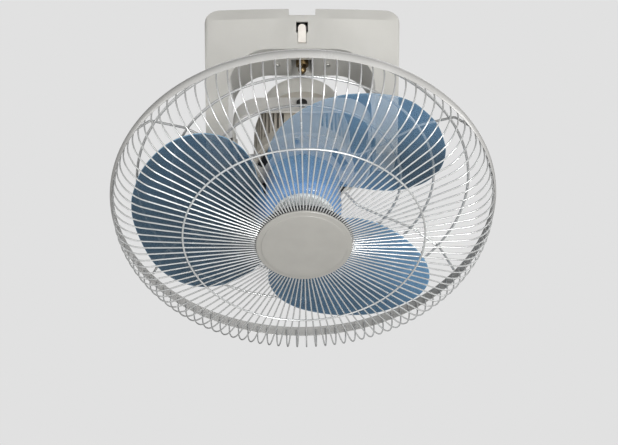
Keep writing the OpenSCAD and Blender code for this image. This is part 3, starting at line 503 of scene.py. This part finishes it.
# The band's section from edge to edge, t from -1 to 1: outside = lip + (bulge - lip) (1 - t squared) beyond
# the inside radius, and the inside is the same curve, 0.3 mm deep.
def bandSection():
    low, high = guard["band"][0] + guard["trim"][0], guard["band"][1] - guard["trim"][1]
    middle, half, lip = (low + high) / 2, (high - low) / 2, guard["lip"]
    t = np.linspace(-1, 1, 15)
    outside = guard["bandInside"] + lip + (guard["bulge"] - lip) * (1 - t ** 2)
    inside = guard["bandInside"] + 0.02 + 0.3 * (1 - t ** 2)
    return np.concatenate([np.stack([outside, middle + t * half], -1),
                           np.stack([inside, middle - t * (half - 0.5)], -1)])


grid, quads = turned(bandSection(), 240)
build("guardBand", inHead(grid), quads, "head", finishes["band"], ["guard_band"], 50)


# A ring of round wire about the head's axis: its line is radius (cos a, sin a) at one height.
def wireRing(name, radius, height, wire, replaces):
    a = np.linspace(0, 2 * math.pi, 200, endpoint=False)
    path = np.stack([radius * np.cos(a), radius * np.sin(a), height + 0 * a], -1)
    grid, quads = tube(path, wire, (0, 0, 1), 14, True)
    build(name, inHead(grid), quads, "head", finishes["wire"], [replaces], 60)


wireRing("frontRing", guard["frontRing"],
         wireHeight(guard["frontRing"]) + guard["wireRadius"] + guard["ringRadius"] + guard["weld"],
         guard["ringRadius"], "front_ring")
print("front guard made")

# In mm and degrees. stay is the middle line of a stay as (radius, height), with its bends eased over bend.
rear = {"angle": 31.5, "radius": 1.5, "bend": 3.6, "rings": (118.0, 157.2, 197.0),
        "stay": ((46.0, 51.55), (61.0, 51.95), (77.0, 65.25), (92.0, 66.45), (160.0, 63.45),
                 (202.0, 77.05), (220.45, 107.5))}


# Height of a stay's middle line before its bends are eased.
def stayHeight(r):
    return float(np.interp(r, [p[0] for p in rear["stay"]], [p[1] for p in rear["stay"]]))


for name, node, radius in zip(("rearRingInner", "rearRingMiddle", "rearRingOuter"),
                              ("rear_ring_inner", "rear_ring_middle", "rear_ring_outer"), rear["rings"]):
    rise = math.atan(stayHeight(radius + 1) - stayHeight(radius))
    above = (2 * rear["radius"] + guard["weld"]) / math.cos(rise)
    wireRing(name, radius, stayHeight(radius) + above, rear["radius"], node)

parts = []
line = eased(rear["stay"], rear["bend"])
for angle in (rear["angle"], 180 - rear["angle"], 180 + rear["angle"], -rear["angle"]):
    c, s = math.cos(math.radians(angle)), math.sin(math.radians(angle))
    path = np.stack([line[:, 0] * c, line[:, 0] * s, line[:, 1]], -1)
    parts.append(tube(path, rear["radius"], (-s, c, 0), 12))
points, faces = joined(parts)
build("rearStays", inHead(points), faces, "head", finishes["wire"], ["rear_stays"], 60)
print("rear guard made")

# In mm. face is the flat's radius, sag how far it falls outwards, and soft the radius of the rim's edge.
cap = {"radius": 55.0, "thick": 4.2, "face": 49.6, "sag": 0.8, "rimDrop": 1.6, "soft": 1.4}
capBack = wireHeight(48) + guard["wireRadius"] + 0.2


# Outline from the middle outwards: a face that falls by sag (r / 48) cubed, a soft shoulder, a lower rim with
# a quarter circle at its edge, and the back.
def capProfile():
    top, radius, soft = capBack + cap["thick"], cap["radius"], cap["soft"]
    rim = top - cap["rimDrop"]
    r = np.linspace(0, cap["face"] - soft, 14)
    face = np.stack([r, top - 0.02 - cap["sag"] * (r / 48) ** 3], -1)
    a = np.linspace(0, math.pi / 2, 5)[1:]
    step = np.stack([cap["face"] - soft + 0.7 * np.sin(a),
                     face[-1, 1] - 0.7 * (1 - np.cos(a)) * (face[-1, 1] - rim)], -1)
    ledge = [(cap["face"] + 0.1, rim - 0.05), (radius - 1.9, rim - 0.15)]
    a = np.linspace(math.pi / 2, 0, 7)
    edge = np.stack([radius - soft + soft * np.cos(a), rim - 1.6 + soft * np.sin(a)], -1)
    back = [(radius, capBack + 0.2), (radius - 0.2, capBack), (radius - 1.8, capBack),
            (radius - 1.8, capBack + 1), (0, capBack + 2)]
    return np.concatenate([face, step, ledge, edge, back])


grid, quads = turned(capProfile(), 128)
build("centreCap", inHead(grid), quads, "head", finishes["cap"], ["centre_cap"], 50)
print("centre cap made")

# Outline of one blade in mm, along its middle line and across it, seen from the front. shade has a row for
# each blade, of painted light and shade: its tone at the axis and per mm of x and y, the least tone, the
# painted light added near the hub, and how clear it is. Each (outer radius, width) pair says from where
# inwards something grows: that painted light in the tone, the hub's painted glow over the upper blade, the
# painted glow at every root, and the thickness, which swells by that share.
blade = {"outline": ((199.5, 0), (196, 20), (190, 39), (181, 59), (166, 77), (146, 90), (122, 96.5),
                     (96.5, 95), (72, 87), (51, 71), (37, 49), (34, 24), (39, 0), (46, -20), (52, -40),
                     (58, -64), (71, -88), (94, -106), (122, -110), (149, -100), (169, -82), (184, -62),
                     (193, -41), (199, -21)),
         "middle": (108.0, -4.0), "first": 60.1, "thick": 2.2, "root": 43.6, "sweep": 199.8,
         "height": 117.6, "pitch": 0.211, "curl": 6.36, "rake": 0.085,
         "toneFrom": (125, 50), "glowFrom": (115, 60), "rootFrom": (60, 14), "swellFrom": (80, 40),
         "swell": 0.5,
         "shade": ((-0.25, 0, 0.0084, 0.3, 0.9, 1), (0.05, 0, 0.002, 0.03, 0, 0.35),
                   (0.92, 0.003, 0.006, 0.33, 0, 0.3))}


# Height of the blade's middle surface at s along and t across: pitched with t, curled with t squared, raked
# with s.
def bladeHeight(s, t):
    return blade["height"] + blade["pitch"] * t + blade["curl"] * (t / 80) ** 2 + blade["rake"] * (s - 120)


# 0 outside the pair's radius and 1 its width further in.
def inwards(distance, pair):
    return np.clip((pair[0] - distance) / pair[1], 0, 1)


# Front and back skins on rings, joined round a full rim: ring = middle + rho (outline - middle), half its
# thickness above or below the middle surface. full is what is left of that on the rim, a quarter circle.
def bladeSkin():
    edge = closedCurve(blade["outline"], 6)
    rho = np.concatenate([np.linspace(0, 0.97, 16), [0.98, 0.988, 0.994, 0.998, 1.0]])
    rho = np.concatenate([rho, rho[-2::-1]])
    sign = np.sign(len(rho) // 2 - np.arange(len(rho)))
    full = np.sqrt(np.clip(1 - (np.clip(rho - 0.984, 0, None) / 0.016) ** 2, 0, 1))
    middle = np.array(blade["middle"])
    flat = middle + rho[:, None, None] * (edge[None] - middle)
    far = np.linalg.norm(flat, axis=-1, keepdims=True)
    flat = flat * np.clip(far, blade["root"], blade["sweep"]) / far
    s, t = flat[..., 0], flat[..., 1]
    thick = blade["thick"] * (1 + blade["swell"] * inwards(far[..., 0], blade["swellFrom"]))
    height = bladeHeight(s, t) + 0.5 * thick * (sign * full)[:, None]
    return np.stack([s, t, height], -1), gridFaces(len(rho), len(edge), False, True)


grid, quads = bladeSkin()
rings = len(grid)
# the rim's mask, where the blade is painted lighter as a painted highlight
rim = np.clip(1 - abs(np.arange(rings) - (rings - 1) / 2) / 2.5, 0, 1)[:, None] + 0 * grid[..., 0]
parts, marks = [], {"tone": [], "clear": [], "rim": [], "hub": [], "glowStreaks": []}
for k in range(3):
    a = math.radians(blade["first"] + 120 * k)
    turn = np.array([[math.cos(a), math.sin(a), 0], [-math.sin(a), math.cos(a), 0], [0, 0, 1]])
    placed = grid @ turn
    parts.append((placed, quads))
    x, y = placed[..., 0], placed[..., 1]
    far = np.hypot(x, y)
    base, perX, perY, least, inner, through = blade["shade"][k]
    # painted light and shade: each blade lighter or darker by where it sits, and the upper blade painted
    # lighter near the hub
    tone = np.clip(base + perX * x + perY * y, least, 1) + inner * inwards(far, blade["toneFrom"])
    # painted glow at every root and over the upper blade near the hub
    glowing = np.maximum(0.5 * inwards(far, blade["rootFrom"]), 0.5 * inner * inwards(far, blade["glowFrom"]))
    for key, values in (("tone", np.clip(tone, 0, 1)), ("clear", through + 0 * far), ("rim", rim),
                        ("hub", glowing), ("glowStreaks", 0.5 + 0 * far)):
        marks[key].append(values.ravel())

# The hub's outline as (radius, height), and its marks: its painted glow grows towards its front and runs in
# faint painted streaks round it.
hub = {"outline": ((42.0, 68.0), (43.6, 68.0), (44.1, 68.5), (44.4, 84.0), (44.7, 99.0), (45.0, 114.0),
                   (44.6, 117.5), (43.2, 121.0), (41.0, 123.8), (38.0, 125.8), (36.0, 126.0), (12.5, 126.0),
                   (4.1, 126.0), (4.1, 104.0), (11.4, 104.0), (12.0, 104.6), (12.0, 122.6), (36.0, 122.6),
                   (39.6, 120.4), (41.4, 116.0)),
       "rear": 64.0, "top": 126.0, "glowStreaks": 24, "tone": 0.8, "clear": 0.6}
steps = 240
grid, quads = turned(hub["outline"], steps)
parts.append((grid, quads))
a = np.linspace(0, 2 * math.pi, steps, endpoint=False)[:, None] + 0 * grid[..., 0]
up = np.clip((grid[..., 2] - hub["rear"]) / (hub["top"] - hub["rear"]), 0, 1)
for key, values in (("tone", hub["tone"] + 0 * a), ("clear", hub["clear"] + 0 * a), ("rim", 0 * a),
                    ("hub", up ** 1.1), ("glowStreaks", 0.5 + 0.5 * np.cos(hub["glowStreaks"] * a))):
    marks[key].append(values.ravel())
points, faces = joined(parts)
build("bladeSet", inHead(points), faces, "rotor", finishes["blade"], ["blade_set"], 40,
      {key: np.concatenate(values) for key, values in marks.items()})

# The hub cap's outline as (radius, height above the hub).
hubCap = ((9.6, 0.1), (36.3, 0.1), (36.5, 0.4), (36.5, 2.4), (36.0, 3.3), (34.8, 4.1), (33.5, 4.4), (28, 4.8),
          (20, 5.2), (10.2, 5.4), (9.6, 5.2))
grid, quads = turned([(r, hub["top"] + z) for r, z in hubCap], 96)
build("hubCap", inHead(grid), quads, "rotor", finishes["hubCap"], ["hub_cap"], 40)
print("blades and hub made")

# Each part's finish, the width of its rounded edges in metres and how many steps they take.
softened = {
    "base_cover": ("cover", 0.0014, 3), "release_tab": ("tab", 0.0005, 2),
    "gimbal_ring": ("strap", 0.0006, 2), "motor_rear_shell": ("motor", 0.0005, 2),
    "motor_front_shell": ("motor", 0.0004, 2), "gear_cover": ("dome", 0.0006, 2),
    # centre_plate takes the black finish as painted shade: it darkens the gaps between the wires at the cap's
    # back.
    "crank_disc": ("dome", 0.0003, 2), "centre_plate": ("black", 0.0003, 2),
    "trunnion_bushes": ("black", 0.0006, 2), "pivot_bolts": ("black", 0.0006, 2),
    "clamp_screws": ("black", 0.0005, 2), "stay_clamps": ("black", 0.0003, 2),
    "cover_screws": ("zinc", 0.0005, 2), "through_bolts": ("zinc", 0.0005, 2),
    # hanger_frame takes the black finish as painted shade: it darkens the recess in the crown.
    "ceiling_plate": ("zinc", 0.0003, 2), "hanger_frame": ("black", 0.0004, 2),
    "orbit_post": ("steel", 0.0003, 2), "orbit_socket": ("brass", 0.0004, 2),
    "drive_ball": ("brass", 0.0, 0), "crank_stud": ("steel", 0.0003, 2),
    "trunnion_pins": ("steel", 0.0004, 2), "pivot_washers": ("zinc", 0.0002, 1),
    "tab_pin": ("steel", 0.0, 0), "lead_grommet": ("rubber", 0.0004, 2),
    "hub_nut": ("black", 0.0005, 2), "frame_bolts": ("zinc", 0.0005, 2),
    "plate_screws": ("zinc", 0.0004, 2), "terminal_block": ("white", 0.0006, 2),
    "run_capacitor": ("white", 0.001, 2), "motor_shaft": ("steel", 0.0003, 2),
    "cap_screw": ("zinc", 0.0003, 2),
}
for node, (look, edge, segments) in softened.items():
    rounded(node, finishes[look], edge, segments)
print("edges rounded:", len(softened))

# The rest is hidden inside and only gets its finish.
inside = {"stator_core": "core", "rotor_core": "core", "stator_coils": "copper", "motor_bearings": "steel",
          "pivot_bushes": "bronze", "output_bush": "bronze", "gear_plates": "zinc", "gear_pins": "steel",
          "shaft_pinion": "brass", "first_gear": "nylon", "second_gear": "nylon", "output_gear": "nylon",
          "crank_shaft": "steel"}
for node, look in inside.items():
    part = frame["nodes"][node]
    part.data.materials.clear()
    part.data.materials.append(finishes[look])
print("inner parts finished:", len(inside))

bpy.context.view_layer.update()
({"cad": [list(corner) for corner in cadBox],
           "visual": [list(corner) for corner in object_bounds()]})
